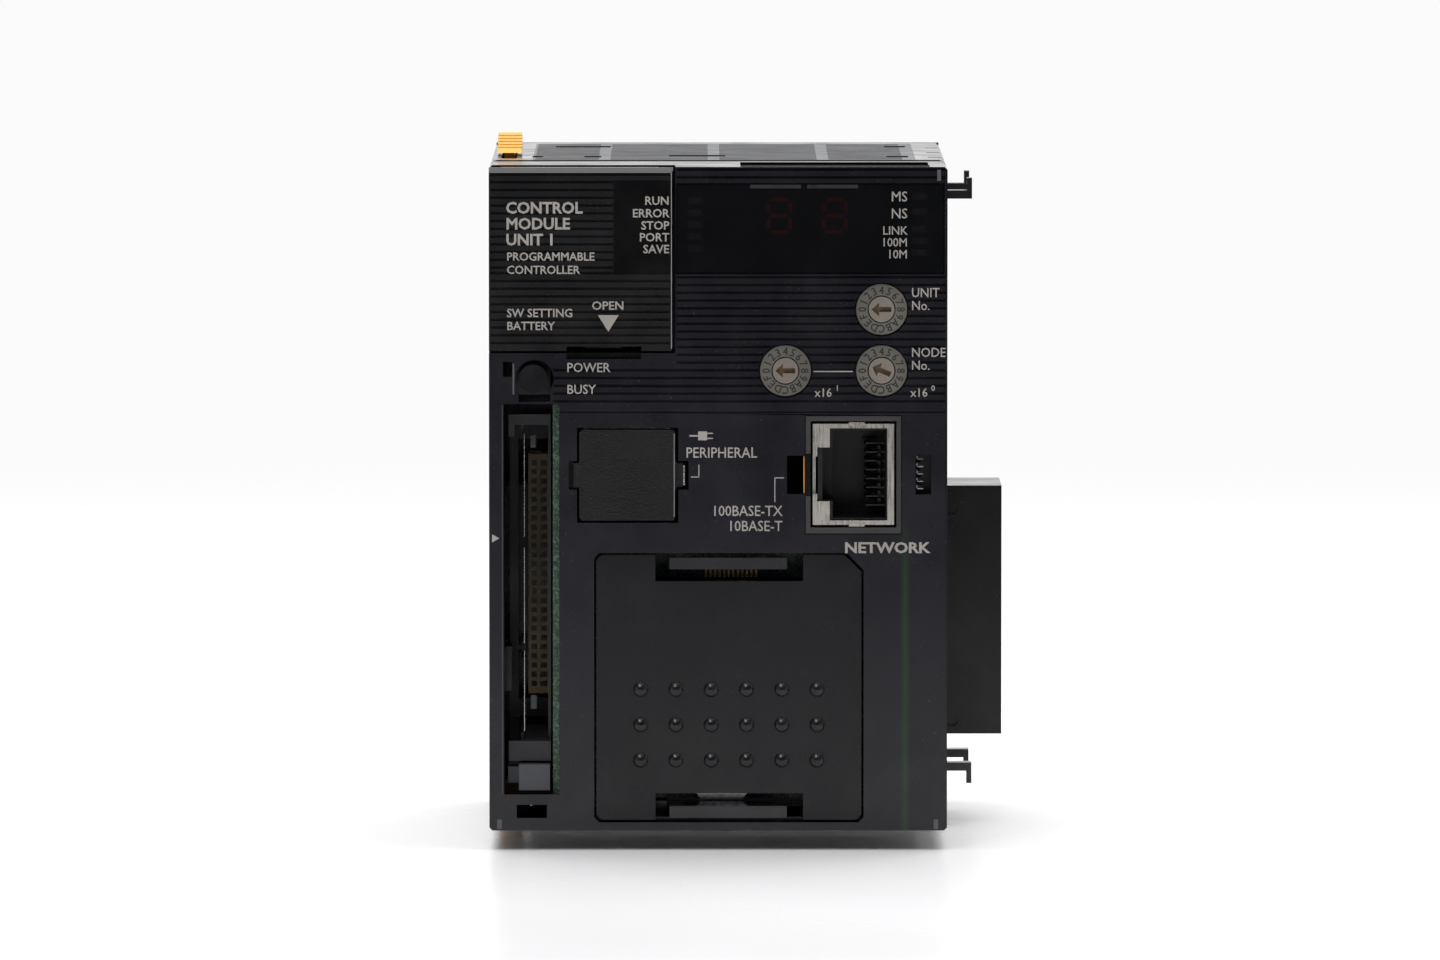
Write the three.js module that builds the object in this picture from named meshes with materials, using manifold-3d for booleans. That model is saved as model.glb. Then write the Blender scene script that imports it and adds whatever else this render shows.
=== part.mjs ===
// A 62 x 90 x 75 mm controller module for a 35 mm mounting rail, with a network port, a memory card
// slot, three rotary switches and an option bay. Millimetres, +X to the right, +Y to the back, +Z up.
import * as THREE from "three";
import { mergeVertices } from "three/addons/utils/BufferGeometryUtils.js";
import Module from "manifold-3d";

// Inside the module's group x runs from the left side, y from the front face and z from the bottom.
const BODY = { width: 62, height: 90, depth: 75, wall: 1.6, face: 2, corner: 0.4 };
const GAP = 0.3; // clearance between pieces that are fitted together
const CUT = 1; // how far a cutting solid runs past the face that it opens

const SEAM_Y = 16.5; // back edge of the front cover
const CASE_BACK_Y = 73.1; // back edge of the rear case
const BACK_PLATE = 1.6;

const RAIL = { centreZ: 45, height: 35, play: 0.3, floorY: 67.2, lipY: [68.6, 70.4], lip: 1.5 };
const RAIL_Z = [RAIL.centreZ - RAIL.height / 2 - RAIL.play, RAIL.centreZ + RAIL.height / 2 + RAIL.play];

const LID = { x: [0, 24.9], y: [0, 2.2], z: [65.1, 89.9], skin: 1.2, bevel: 0.7, edge: 0.2 };
const LID_HINGE = { y: 2.4, z: 88, barrel: 0.9, pin: 0.45, play: 0.15, earX: [[0.4, 1.4], [23.3, 24.3]] };
const LID_EAR = { web: [0.5, 2.4], neckY: 3.4, room: 2.9, hollow: { y: 4.4, z: 1, radius: 2 } };
const LID_PANEL = { x: [16.8, 24.8], z: [75.7, 88.2] }; // plain area for the lamp legends
const PRY_SLOT = { x: [10.5, 20.6], z: [64, 65.7], depth: 1.2 };
const BAY = { x: [1.6, 24.6], z: [64.8, 88.4], backY: 15.2 };

const WINDOW = { x: [25.3, 61.6], z: [75.5, 87.8], thick: 1.2, ledge: 1.2 };
const RIB_PITCH = 1.05; // horizontal styling grooves on the upper front
const GROOVE = { width: 0.34, depth: 0.3 };
const GROOVE_BAND = { z: [57.6, 75], x: [25.4, 61.7], lowX: 8.7, lowZ: 63.9 };
const TOP_RECESS = { x: [34, 59.5], y: [5.5, 14], deep: 0.5 }; // shallow recess on top of the front cover
const SEAM_LINE = { z: 56.7, x: [8.7, 61.7], width: 0.2 };

const DIALS = {
  unit: { x: 53.1, z: 70.7, turn: 0 },
  node_high: { x: 40.1, z: 62.4, turn: 0 },
  node_low: { x: 53.1, z: 62.4, turn: 1 },
};
const DIAL = { radius: 3.45, rotor: 1.75, play: 0.15, step: Math.PI / 8, body: 7.6, backY: 7.8 };

const POWER_LIGHT = { x: [1.9, 3.2], z: [61.6, 63.6] };
const PULL_WINDOW = { x: [3.7, 7.8], z: [1.7, 3.5] }; // opening under the card slot
const ARROW = { tip: -1.35, neck: -0.35, tail: 1.3, wide: 0.95, narrow: 0.35 };
const BUTTON = { x: 6, z: 61.3, radius: 1.95, bore: 2.6, lipX: [4, 8.3], lipZ: 58.2 };
const CARD_SLOT = { x: [2, 9.5], z: [4.9, 57.9] };
const CARD_GUIDE = { x: [2.6, 8.3], lowZ: [9.2, 11.9], highZ: [54.9, 56.3], y: [7, 38] };
const CARD_PINS = { x: [4.9, 7.7], z: [15.9, 49], y: [33, 38], rows: 25, pitch: 1.27, hole: 0.6 };
const EJECT = { x: [4, 8.2], z: [5.4, 8.9], y: [0.9, 4.5], rodX: [2.5, 3.9], rodZ: [6.2, 8.4] };
const LEVER = { x: [2.4, 3.6], y: 35.2, z: 22, half: 1.1, reach: [15.8, 15.2] };
const PUSHER = { y: [29.2, 31], z: [13.1, 53.7], footZ: [34, 36] };

const CPU_BOARD = { x: [8.6, 9.6], y: [2.4, 65], z: [2.2, 58] };
const NET_BOARD = { x: [55.9, 57], y: [2.6, 65], z: [1.9, 57.5] };
const SCREEN_BOARD = { x: [26, 60], y: [8.4, 9.6], z: [58.4, 87.6] };
const DIGITS = { tens: [35.2, 42.3], units: [42.9, 50], z: [79.2, 87.4], y: [3, 8.1] };

const USB = { x: [12.2, 25.3], z: [42.1, 54.4], hingeX: 11.9, tabZ: [46.6, 49.9], thick: 1.5, edge: 0.18 };
const USB_PORT = { x: [12.7, 24.5], z: [42.6, 53.7], y: [2.6, 18.5], hole: [8.5, 7.8], tongueY: 8 };
const JACK = { x: [43.8, 54.8], z: [41.5, 55.2], y: [0.4, 16], sheet: 0.4 };
const JACK_FRAME = { x: [42.7, 55.9], z: [40.2, 56.4], deep: 0.25 };
const JACK_SPRING = { x: [48.7, 50.8], out: 0.15, half: 0.22 };
const JACK_PINS = { count: 8, pitch: 1.02, width: 0.44, comb: [50.6, 52.4], combY: [12, 12.7] };
const JACK_CAVITY = { x: [46.1, 53.9], z: [42.1, 54.6], backY: 13 };
const JACK_KEY = { x: [44.4, 46.3], z: [44.7, 52] };
const JACK_WINDOW = { x: [40.3, 42.7], z: [45.7, 50.9] };
const HEADER = { x: [57.7, 59.8], z: [45.65, 51] };

const OPTION = { x: [14.5, 50.4], z: [1.4, 37.4], y: [0.8, 2.4], corner: 0.7, chamfer: 2.3 };
const OPTION_NOTCH = { x: [22.5, 42.5], deep: 3.6 };
const OPTION_TAB = { x: [24.4, 40.3], high: 1.9, hingeY: 8.6 };
const OPTION_BOARD = { y: [14, 15.2], x: [10.2, 55.3], z: [3.2, 39.6] };
const DOMES = { x0: 20.5, pitch: 4.78, columns: 6, rowsZ: [19.1, 14.3, 9.5], radius: 1.05 };

const BUS = { y: [40, 56.2], z: [9.7, 44.1], reach: 8.2 };
const BUS_DIMPLE = { radius: 0.8, deep: 0.6, inset: 1.4, fromEnds: [1.8, 3.2] };
const HOOK = { z: [83.95, 85.1], reach: 4, tip: 0.7, tipZ: 86.8, width: 2.6, ys: [36, 57] };
const HOOK_POCKET = { z: [83.2, 87.4], play: 0.6 }; // for the next module's hooks
const SLIDER = { x: [0.7, 4], y: [33, 45], rise: [0.4, 2.7], neck: [1.65, 3.1], travel: 8, ribs: 6 };
const SLIDER_ROOM = 4.4; // depth of the slot that a slider's foot runs in
const VENT = { x: [5.2, 58.4], y: [19, 70], zones: [[6, 14.7], [16.3, 29.6], [31.2, 44.5], [46.1, 56.2]] };
const SLAT = { pitch: 2.5, slot: 1.1 };
const VENT_SCORES = [
  { x: [8.5, 16.1], y: 59.5 }, { x: [5.6, 7], y: 29.5 }, { x: [12.7, 15], y: 29.5 },
  { x: [24.3, 32], y: 32 }, { x: [54.2, 57.1], y: 59.5 }, { x: [54.1, 57.1], y: 29.5 },
]; // shallow moulded marks on the grille
const SCORE_DEPTH = 1;
const CASE_NOTCH = { x: [59.8, 63], ys: [28, 42, 56], width: 1.3, deep: 0.8 };
const SEAM_STEP = { y: [15, 18.7], deep: 0.7 }; // shallow step behind the front cover's top edge
const LOCK = { x: [26.9, 35.1], z: [0.5, 25.4], nose: [28.5, 33.5] };
const DIP = { x: [14.6, 22.4], y: [10.6, 14.8], z: [66.2, 87.6], pitch: 2.54, count: 8, travel: 1.6 };
const CELL = { x: 7.5, y: 9.6, radius: 5, z: [71.4, 87.4] };

const BLACK = { color: 0x1b1b1f, roughness: 0.32, metalness: 0 };
const SOFT_BLACK = { color: 0x202023, roughness: 0.6, metalness: 0 };
const SMOKE = { color: 0x08090c, roughness: 0.08, metalness: 0 };
const GREY = { color: 0x3c3d41, roughness: 0.5, metalness: 0 };
const CREAM = { color: 0x9b968c, roughness: 0.6, metalness: 0 };
const AMBER = { color: 0xeba52d, roughness: 0.4, metalness: 0 };
const GREEN = { color: 0x1f4a33, roughness: 0.45, metalness: 0 };
const TIN = { color: 0xb4aca0, roughness: 0.3, metalness: 1 };
const GOLD = { color: 0xc8a050, roughness: 0.3, metalness: 1 };
const BEIGE = { color: 0x6b5b45, roughness: 0.6, metalness: 0 };
const WHITE = { color: 0xd8d5cc, roughness: 0.5, metalness: 0 };
const RED = { color: 0x7a1c1c, roughness: 0.3, metalness: 0 };

const wasm = await Module();
wasm.setup();

// ---- solids -------------------------------------------------------------------------------------

function solid(geometry) {
  const bare = geometry.clone();
  bare.deleteAttribute("normal");
  bare.deleteAttribute("uv");
  const merged = mergeVertices(bare, 1e-4);
  const mesh = new wasm.Mesh({
    numProp: 3,
    vertProperties: new Float32Array(merged.attributes.position.array),
    triVerts: new Uint32Array(merged.index.array),
  });
  return new wasm.Manifold(mesh);
}

function block([x0, x1], [y0, y1], [z0, z1]) {
  const box = new THREE.BoxGeometry(x1 - x0, y1 - y0, z1 - z0);
  return solid(box.translate((x0 + x1) / 2, (y0 + y1) / 2, (z0 + z1) / 2));
}

function outline(points) {
  return new THREE.Shape(points.map(([a, b]) => new THREE.Vector2(a, b)));
}

// Each turns a flat outline into a solid: outline axes first, then the axis that it is drawn along.
function alongY(shape, [y0, y1], steps = 6) {
  const options = { depth: y1 - y0, bevelEnabled: false, curveSegments: steps };
  const geometry = new THREE.ExtrudeGeometry(shape, options);
  return solid(geometry.rotateX(Math.PI / 2).translate(0, y1, 0));
}

function alongX(shape, [x0, x1], steps = 6) {
  const options = { depth: x1 - x0, bevelEnabled: false, curveSegments: steps };
  const geometry = new THREE.ExtrudeGeometry(shape, options);
  const axes = new THREE.Matrix4().set(0, 0, 1, x0, 1, 0, 0, 0, 0, 1, 0, 0, 0, 0, 0, 1);
  return solid(geometry.applyMatrix4(axes));
}

function rodY(x, z, radius, [y0, y1], sides = 20) {
  const geometry = new THREE.CylinderGeometry(radius, radius, y1 - y0, sides);
  return solid(geometry.translate(x, (y0 + y1) / 2, z));
}

function rodX([x0, x1], y, z, radius, sides = 14) {
  const geometry = new THREE.CylinderGeometry(radius, radius, x1 - x0, sides);
  return solid(geometry.rotateZ(Math.PI / 2).translate((x0 + x1) / 2, y, z));
}

function rodZ(x, y, radius, [z0, z1], sides = 20) {
  const geometry = new THREE.CylinderGeometry(radius, radius, z1 - z0, sides);
  return solid(geometry.rotateX(Math.PI / 2).translate(x, y, (z0 + z1) / 2));
}

// A rectangle in x and z with clipped corners.
function plate([x0, x1], [z0, z1], c) {
  return outline([
    [x0 + c, z0], [x1 - c, z0], [x1, z0 + c], [x1, z1 - c],
    [x1 - c, z1], [x0 + c, z1], [x0, z1 - c], [x0, z0 + c],
  ]);
}

const join = (first, ...rest) => rest.reduce((sum, part) => sum.add(part), first);
const cut = (first, ...rest) => rest.reduce((left, part) => left.subtract(part), first);
const grow = ([a, b], by) => [a - by, b + by];
const middle = ([a, b]) => (a + b) / 2;
// A 45-degree chamfer of that size along an upright front edge.
const edgeCut = (x, y, z, size) =>
  block([-size, size], [-size, size], grow(z, CUT)).rotate([0, 0, 45]).translate([x, y, 0]);
const flipZ = ([z0, z1]) => [BODY.height - z1, BODY.height - z0];

function fromManifold(manifold) {
  const { vertProperties, triVerts } = manifold.getMesh();
  const geometry = new THREE.BufferGeometry();
  geometry.setAttribute("position", new THREE.BufferAttribute(vertProperties, 3));
  geometry.setIndex(new THREE.BufferAttribute(triVerts, 1));
  const flat = geometry.toNonIndexed();
  flat.computeVertexNormals();
  return flat;
}

function piece(name, manifold, finish) {
  const mesh = new THREE.Mesh(fromManifold(manifold), new THREE.MeshStandardMaterial(finish));
  mesh.name = name;
  return mesh;
}

// ---- housing ------------------------------------------------------------------------------------

function ribGrooves([x0, x1], [z0, z1], faceY) {
  const grooves = [];
  for (let z = z0 + RIB_PITCH / 2; z < z1; z += RIB_PITCH) {
    grooves.push(block([x0, x1], [faceY - CUT, faceY + GROOVE.depth], [z, z + GROOVE.width]));
  }
  return grooves;
}

function frontCover() {
  const { width, height, wall, face, corner } = BODY;
  const through = [-CUT, face + CUT];
  const shell = cut(
    alongY(plate([0, width], [0, height], corner), [0, SEAM_Y]),
    block([wall, width - wall], [face, SEAM_Y + CUT], [wall, height - wall]),
  );
  const bayShelf = block([0, BAY.x[1] + 1], [0, SEAM_Y], [BAY.z[0] - 1.2, BAY.z[0]]);
  const bayWall = block([BAY.x[1], BAY.x[1] + 0.7], [0, SEAM_Y], [BAY.z[0], height - wall]);
  const bayBack = block([wall / 2, BAY.x[1] + 0.3], [BAY.backY, SEAM_Y], [BAY.z[0], height - wall / 2]);
  const solidFront = join(shell, bayShelf, bayWall, bayBack, ...snapTabs());
  const lidOpening = block([-CUT, LID.x[1] + GAP], [-CUT, LID.y[1] + GAP], [LID.z[0] - GAP, height + CUT]);
  const lidSwing = block([-CUT, LID.x[1] + GAP], [0, LID_HINGE.y + 3.2], [LID_HINGE.z - 1.6, height + CUT]);
  const windowSeat = join(
    block(grow(WINDOW.x, 0), [-CUT, WINDOW.thick + GAP], WINDOW.z),
    block(grow(WINDOW.x, -WINDOW.ledge), through, grow(WINDOW.z, -WINDOW.ledge)),
  );
  const dialHoles = Object.values(DIALS).map(({ x, z }) => rodY(x, z, DIAL.radius + 0.2, through, 28));
  const optionHole = alongY(optionOutline(GAP), through);
  const jackHoles = [
    block(grow(JACK.x, 0.3), through, grow(JACK.z, 0.3)),
    block(JACK_WINDOW.x, through, JACK_WINDOW.z),
    block(JACK_FRAME.x, [-CUT, JACK_FRAME.deep], JACK_FRAME.z),
  ];
  const usbHoles = [
    block(grow(USB.x, GAP), through, grow(USB.z, GAP)),
    block([10.8, USB.x[0]], [-CUT, 1.4], grow(USB.tabZ, GAP)),
    block([USB.x[1], 27], through, grow(USB.tabZ, GAP)),
  ];
  const slotHoles = [
    block(CARD_SLOT.x, through, CARD_SLOT.z),
    block(PULL_WINDOW.x, through, PULL_WINDOW.z),
    rodY(BUTTON.x + 0.15, BUTTON.z, BUTTON.bore, through, 28),
    block(BUTTON.lipX, through, [BUTTON.lipZ, BUTTON.z]),
    block(POWER_LIGHT.x, through, POWER_LIGHT.z),
    block(HEADER.x, through, HEADER.z),
    block(PRY_SLOT.x, [-CUT, PRY_SLOT.depth], PRY_SLOT.z),
  ];
  const openings = cut(
    solidFront, lidOpening, lidSwing, windowSeat, optionHole,
    ...dialHoles, ...jackHoles, ...usbHoles, ...slotHoles,
  );
  const lines = [
    ...ribGrooves(GROOVE_BAND.x, GROOVE_BAND.z, 0),
    ...ribGrooves([GROOVE_BAND.lowX, GROOVE_BAND.x[0] + 0.1], [GROOVE_BAND.z[0], GROOVE_BAND.lowZ - 1], 0),
    ...ribGrooves(GROOVE_BAND.x, [87.9, 89.6], 0),
    block(SEAM_LINE.x, [-CUT, GROOVE.depth], [SEAM_LINE.z, SEAM_LINE.z + SEAM_LINE.width]),
    block(TOP_RECESS.x, TOP_RECESS.y, [height - TOP_RECESS.deep, height + CUT]),
  ];
  return join(cut(openings, ...lines), ...hingeEars());
}

// Tabs inside the front cover that reach past its back edge into the rear case.
function snapTabs() {
  const { width, height, wall } = BODY;
  const inner = wall + GAP;
  const tab = [SEAM_Y - 4, SEAM_Y + 3.5];
  const root = [SEAM_Y - 4, SEAM_Y - 3];
  const made = [];
  for (const z of [[18, 24], [72, 78]]) {
    for (const flip of [false, true]) {
      const place = ([a, b]) => (flip ? [width - b, width - a] : [a, b]);
      made.push(block(place([inner, inner + 1]), tab, z));
      made.push(block(place([wall - 0.2, inner + 1]), root, z));
    }
  }
  for (const x of [[18, 24], [44, 50]]) {
    made.push(block(x, tab, [inner, inner + 1]));
    made.push(block(x, root, [wall - 0.2, inner + 1]));
  }
  for (const x of [[30, 36], [44, 50]]) {
    made.push(block(x, tab, flipZ([inner, inner + 1])));
    made.push(block(x, root, flipZ([wall - 0.2, inner + 1])));
  }
  return made;
}

function hingeEars() {
  const { y, z, barrel, pin, play, earX } = LID_HINGE;
  const { web, neckY, hollow } = LID_EAR;
  const hole = rodX([-CUT, LID.x[1] + CUT], y, z, pin + play);
  return earX.map((x) => {
    const strip = block(x, [y, BAY.backY + 0.2], [z - web[1], z - web[0]]);
    const round = rodX(grow(x, CUT), y + hollow.y, z + hollow.z, hollow.radius, 16);
    const neck = cut(block(x, [y, y + neckY], [z - web[1], z]), round);
    return cut(join(rodX(x, y, z, barrel, 16), strip, neck), hole);
  });
}

function rearCase() {
  const { width, height, wall, corner } = BODY;
  const front = SEAM_Y + GAP;
  const shell = cut(
    alongY(plate([0, width], [0, height], corner), [front, CASE_BACK_Y]),
    block([wall, width - wall], [front - CUT, CASE_BACK_Y + CUT], [wall, height - wall]),
    block([-CUT, width + CUT], [RAIL.floorY - 1.7, BODY.depth], grow(RAIL_Z, 1.6)),
  );
  const openings = [
    block([-CUT, width + CUT], grow(BUS.y, GAP), grow(BUS.z, GAP)),
    block(grow(LOCK.x, GAP), [CASE_BACK_Y - 2, CASE_BACK_Y + CUT], [-CUT, wall + CUT]),
  ];
  const scores = [
    block([corner, width + CUT], SEAM_STEP.y, [height - SEAM_STEP.deep, height + CUT]),
    ...CASE_NOTCH.ys.map((y) =>
      block(CASE_NOTCH.x, [y, y + CASE_NOTCH.width], [height - CASE_NOTCH.deep, height + CUT])),
  ];
  openings.push(...scores);
  for (const flip of [false, true]) {
    const place = (z) => (flip ? flipZ(z) : z);
    openings.push(block(VENT.x, VENT.y, place([height - wall - CUT, height + CUT])));
    const slot = [SLIDER.neck[0] - GAP, SLIDER.neck[1] + GAP];
    const run = [SLIDER.y[0] - SLIDER.travel, SLIDER.y[1] + 1];
    openings.push(block(slot, run, place([height - SLIDER_ROOM, height + CUT])));
    for (const y of HOOK.ys) {
      const pocketY = grow([y, y + HOOK.width], HOOK_POCKET.play);
      openings.push(block([-CUT, wall + CUT], pocketY, place(HOOK_POCKET.z)));
    }
  }
  return join(cut(shell, ...openings), ...hooks());
}

function hooks() {
  const { width, wall } = BODY;
  const made = [];
  for (const y of HOOK.ys) {
    for (const flip of [false, true]) {
      const place = (z) => (flip ? flipZ(z) : z);
      const depth = [y, y + HOOK.width];
      const end = width + HOOK.reach;
      made.push(block([width - wall / 2, end], depth, place(HOOK.z)));
      made.push(block([end - HOOK.tip, end], depth, place([HOOK.z[0], HOOK.tipZ])));
    }
  }
  return made;
}

function ventGrille(flip) {
  const { height, wall } = BODY;
  const place = (z) => (flip ? flipZ(z) : z);
  const panel = block(grow(VENT.x, -GAP), grow(VENT.y, -GAP), place([height - wall, height]));
  const slots = [];
  for (const x of VENT.zones) {
    for (let y = VENT.y[0] + SLAT.pitch; y < VENT.y[1] - SLAT.pitch; y += SLAT.pitch) {
      slots.push(block(x, [y, y + SLAT.slot], place([height - wall - CUT, height + CUT])));
    }
  }
  const scoreZ = place([height - SCORE_DEPTH, height + CUT]);
  const scores = VENT_SCORES.map(({ x, y }) => block(x, [y, y + SLAT.slot], scoreZ));
  return cut(panel, ...slots, ...scores);
}

function backCover() {
  const { width, height, depth, wall } = BODY;
  const { floorY, lipY, lip } = RAIL;
  const [low, high] = RAIL_Z;
  const front = depth - BACK_PLATE;
  const profile = outline([
    [front, 0], [depth, 0], [depth, low], [floorY, low], [floorY, high], [lipY[0], high],
    [lipY[0], high - lip], [lipY[1], high - lip], [lipY[1], high], [depth, high],
    [depth, height], [front, height], [front, high + 1.3], [floorY - 1.4, high + 1.3],
    [floorY - 1.4, low - 1.3], [front, low - 1.3],
  ]);
  const pocketY = [floorY + 0.8, depth + CUT];
  const casing = block(grow(LOCK.x, 1.5), [floorY - 0.4, front + 0.1], [wall + GAP, low]);
  const pocket = block(grow(LOCK.x, GAP), pocketY, [-CUT, low + CUT]);
  return cut(join(alongX(profile, [0, width]), casing), pocket);
}

function lockPin() {
  const { x, z, nose } = LOCK;
  const { depth } = BODY;
  const blade = block(x, [72.2, depth - 0.4], z);
  const step = block(nose, [RAIL.lipY[0], 72.3], [z[1] - 4, z[1]]);
  const catchNose = block(nose, RAIL.lipY, [z[1] - 4, RAIL_Z[0] + RAIL.lip]);
  const pullSlot = block([29, 33], [71, depth], [2, 3.6]);
  return cut(join(blade, step, catchNose), pullSlot);
}

function slider() {
  const { x, y, rise, neck, ribs } = SLIDER;
  const [y0, y1] = y;
  const wedge = outline([[y0, rise[0]], [y1, rise[0]], [y1, rise[1]], [y1 - 1.2, rise[1]]]);
  const knob = alongX(wedge, x);
  const grooves = [];
  for (let i = 1; i < ribs; i += 1) {
    const t = i / ribs;
    const gy = y0 + 1 + t * (y1 - y0 - 2.4);
    const gz = rise[0] + t * (rise[1] - rise[0]);
    grooves.push(block(grow(x, CUT), [gy, gy + 0.6], [gz - 0.1, gz + 2]));
  }
  const stem = block(neck, [y0 + 1, y1 - 1], [-2.1, rise[0] + 0.05]);
  const foot = block([neck[0], 4.6], [y0 + 1, y1 - 1], [-3.5, -2]);
  return join(cut(knob, ...grooves), stem, foot);
}

// ---- lid, battery and settings switches ---------------------------------------------------------

function batteryLid() {
  const { x, y, z, skin, bevel } = LID;
  const h = LID_HINGE;
  const side = outline([
    [y[0], z[0]], [y[1], z[0]], [y[1], z[1] - 0.2],
    [y[1] - 0.4, z[1]], [y[0] + bevel, z[1]], [y[0], z[1] - bevel],
  ]);
  const grooves = [
    ...ribGrooves([x[0] - CUT, LID_PANEL.x[0]], LID_PANEL.z, y[0]),
    ...ribGrooves(grow(x, CUT), [z[0] + 0.4, LID_PANEL.z[0]], y[0]),
    ...ribGrooves(grow(x, CUT), [88.3, 89.1], y[0]),
  ];
  const barrel = rodX([h.earX[0][1] + GAP, h.earX[1][0] - GAP], h.y, h.z, h.barrel, 16);
  const pin = rodX([h.earX[0][0] - 0.2, h.earX[1][1] + 0.2], h.y, h.z, h.pin, 14);
  const [leftEar, rightEar] = h.earX;
  const roomX = [[-CUT, leftEar[1] + GAP], [rightEar[0] - GAP, rightEar[1] + CUT]];
  const earRoom = roomX.map((span) => block(span, [skin, y[1] + CUT], [h.z - LID_EAR.room, z[1] + CUT]));
  const latch = block([13, 18], [1.5, 3.4], [z[0] + 0.3, z[0] + 1.3]);
  const pry = block(PRY_SLOT.x, [y[0] - CUT, y[1] + CUT], [z[0] - CUT, PRY_SLOT.z[1]]);
  const body = cut(alongX(side, x), ...earRoom, ...grooves, pry, edgeCut(x[1], y[0], z, LID.edge));
  return join(body, barrel, pin, latch);
}

function dipBody() {
  const { x, y, z, pitch, count } = DIP;
  const slots = [];
  for (let i = 0; i < count; i += 1) {
    const at = dipZ(i);
    slots.push(block([x[0] + 2, x[1] - 2], [y[0] - CUT, y[0] + 1.6], [at - 0.85, at + 0.85]));
  }
  return cut(block(x, y, z), ...slots);
}

const dipZ = (i) => middle(DIP.z) + (i - (DIP.count - 1) / 2) * DIP.pitch;

function batteryParts() {
  const { x, y, radius, z } = CELL;
  const wall = rodZ(x, y, radius, z, 28);
  const cap = rodZ(x, y, radius - 1.6, [z[1] - 0.1, z[1] + 0.4], 20);
  const socketRoom = block([4.8, 10.2], [10, 13.8], [66.8, 68.5]);
  const socket = cut(block([4, 11], [11.2, 14.8], [66, 69.3]), socketRoom);
  const plug = block([5.1, 9.9], [6.4, 13.4], [67.1, 68.2]);
  const route = [
    [8, 71], [7.9, 70.3], [7, 69.7], [5.6, 69.6], [4.6, 69.2], [4.3, 68.4], [4.8, 67.8], [6, 67.65],
  ].map(([leadY, leadZ]) => new THREE.Vector3(x, leadY, leadZ));
  const disc = new THREE.Shape().absarc(0, 0, 0.5, 0, 2 * Math.PI);
  const path = new THREE.CatmullRomCurve3(route);
  const options = { steps: 16, bevelEnabled: false, curveSegments: 8, extrudePath: path };
  return { cell: join(wall, cap), socket, plug, lead: solid(new THREE.ExtrudeGeometry(disc, options)) };
}

// ---- boards, displays and dials -----------------------------------------------------------------

function cpuBoard() {
  const socketHole = block([0, 20], grow(BUS.y, 0.6), grow(BUS.z, 0.6));
  const tabRoom = block([0, 20], [10, SEAM_Y], [70, 95]);
  const rackRoom = block([0, 20], [64, 80], [25, 65]);
  return cut(block(CPU_BOARD.x, CPU_BOARD.y, CPU_BOARD.z), socketHole, tabRoom, rackRoom);
}

function netBoard() {
  const plugHole = block([50, 60], grow(BUS.y, 0.6), grow(BUS.z, 0.6));
  const rackRoom = block([50, 60], [64, 80], [25, 65]);
  return cut(block(NET_BOARD.x, NET_BOARD.y, NET_BOARD.z), plugHole, rackRoom);
}

function screenBoard() {
  return block(SCREEN_BOARD.x, SCREEN_BOARD.y, SCREEN_BOARD.z);
}

function digitBlock([x0, x1]) {
  return alongY(plate([x0, x1], DIGITS.z, 0.3), DIGITS.y);
}

// A bar with one light pipe for each lamp.
function lightGuide([x0, x1], zs) {
  const bar = block([x0, x1], [6.4, 8], [zs[zs.length - 1] - 0.9, zs[0] + 0.9]);
  const pipes = zs.map((z) => block([x0, x1], [2.6, 6.5], [z - 0.45, z + 0.45]));
  return join(bar, ...pipes);
}

function dialBody() {
  const { radius, rotor, play, body, backY } = DIAL;
  const bore = rodY(0, 0, rotor + play, [-CUT, 5.2], 28);
  const collar = rodY(0, 0, radius, [0.4, 2.6], 32);
  const base = block([-body / 2, body / 2], [2.5, backY], [-body / 2, body / 2]);
  return cut(join(collar, base), bore);
}

function dialRotor() {
  const shaft = rodY(0, 0, DIAL.rotor, [0.3, 4.9], 28);
  const { tip, neck, tail, wide, narrow } = ARROW;
  const arrow = outline([
    [tip, 0], [neck, -wide], [neck, -narrow], [tail, -narrow], [tail, narrow], [neck, narrow], [neck, wide],
  ]);
  return cut(shaft, alongY(arrow, [-CUT, 1]));
}

// ---- memory card mechanism ----------------------------------------------------------------------

function cardGuide() {
  const [x0, x1] = CARD_GUIDE.x;
  const [low, lowTop] = CARD_GUIDE.lowZ;
  const [highBottom, high] = CARD_GUIDE.highZ;
  const y = CARD_GUIDE.y;
  const slide = [x0 + 2, x1 - 0.4]; // the card's own thickness runs in here
  const lower = block([slide[0] - 0.4, x1], y, [low, lowTop + 0.8]);
  const upper = block([slide[0] - 0.4, x1], y, [highBottom - 0.8, high]);
  const web = block([x1 - 0.4, x1], y, [low, high]);
  const channel = block(slide, [y[0] - CUT, 40], [lowTop, highBottom]);
  const frontLow = block([x0, x1], [3.2, 5], [low, lowTop]);
  const frontHigh = block([x0, x1], [3.2, 5], [highBottom, high]);
  const strutLow = block([slide[0] - 0.4, x1], [4.9, y[0] + 0.1], [low, lowTop]);
  const strutHigh = block([slide[0] - 0.4, x1], [4.9, y[0] + 0.1], [highBottom, high]);
  const leg = block([x0, x0 + 0.8], [3.2, 5], [highBottom - 1.6, highBottom + 0.1]);
  const frame = cut(join(lower, upper, web), channel);
  return join(frame, frontLow, frontHigh, strutLow, strutHigh, leg);
}

function cardConnector() {
  const { x, y, z, rows, pitch, hole } = CARD_PINS;
  const holes = [];
  for (const column of [x[0] + 0.55, x[1] - 0.55 - hole]) {
    for (let i = 0; i < rows; i += 1) {
      const at = middle(z) + (i - (rows - 1) / 2) * pitch;
      holes.push(block([column, column + hole], [y[0] - CUT, y[0] + 0.8], [at - hole / 2, at + hole / 2]));
    }
  }
  return cut(block(x, y, z), ...holes);
}

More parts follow.
